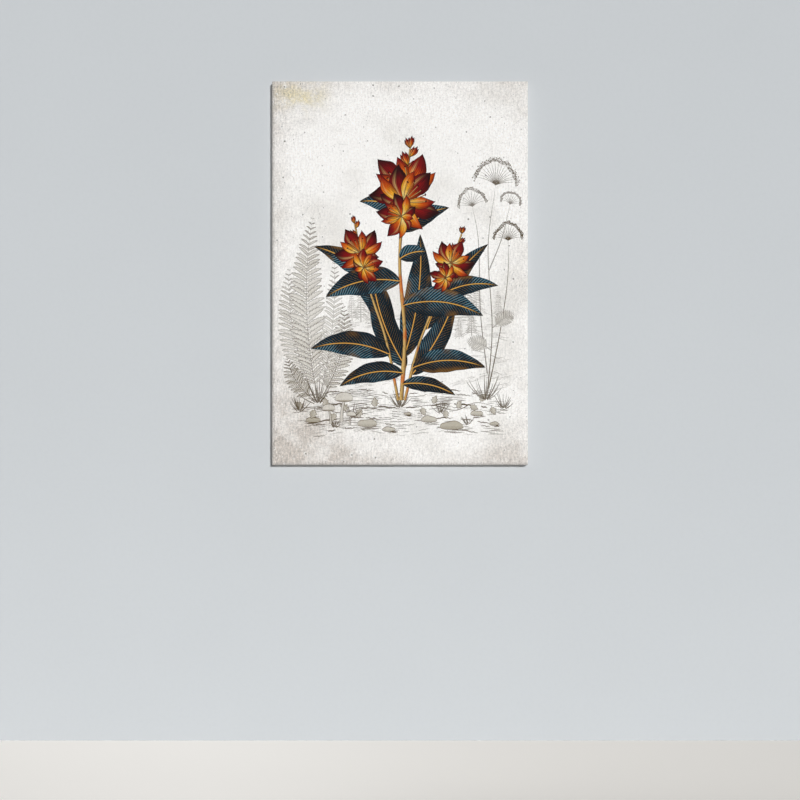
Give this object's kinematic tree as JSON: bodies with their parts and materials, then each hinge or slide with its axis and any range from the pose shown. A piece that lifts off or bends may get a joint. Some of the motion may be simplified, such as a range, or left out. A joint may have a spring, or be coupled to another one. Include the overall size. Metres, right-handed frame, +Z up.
{
  "type": "stretched canvas wall print",
  "caption": "Tall gallery-wrapped canvas print with a vintage botanical design, on a mitred pine stretcher frame with a brace, corner keys, a sawtooth hanger and bumpers.",
  "frame": {"origin": "on the wall's plane, at the middle of the sawtooth hanger's back face, 22 mm below the picture's top edge", "axes": "+X to the viewer's right, +Z up, +Y into the wall; the picture faces -Y"},
  "size_m": [1.016, 0.0415, 1.524],
  "materials": {
    "printed_canvas": "matt printed and primed cotton canvas, aged off-white ground",
    "pine": "planed bare pine",
    "beech": "sawn bare beech",
    "zinc_steel": "zinc-plated pressed steel",
    "clear_rubber": "soft translucent rubber"
  },
  "bodies": {
    "root": {"canvas": "printed_canvas", "bar_top": "pine", "bar_bottom": "pine", "bar_left": "pine", "bar_right": "pine", "brace": "pine", "hanger": "zinc_steel", "hanger_nail_left": "zinc_steel", "hanger_nail_right": "zinc_steel", "bumper_left": "clear_rubber", "bumper_right": "clear_rubber", "key_top_left_a": "beech", "key_top_left_b": "beech", "key_top_right_a": "beech", "key_top_right_b": "beech", "key_bottom_left_a": "beech", "key_bottom_left_b": "beech", "key_bottom_right_a": "beech", "key_bottom_right_b": "beech"}
  },
  "joints": []
}
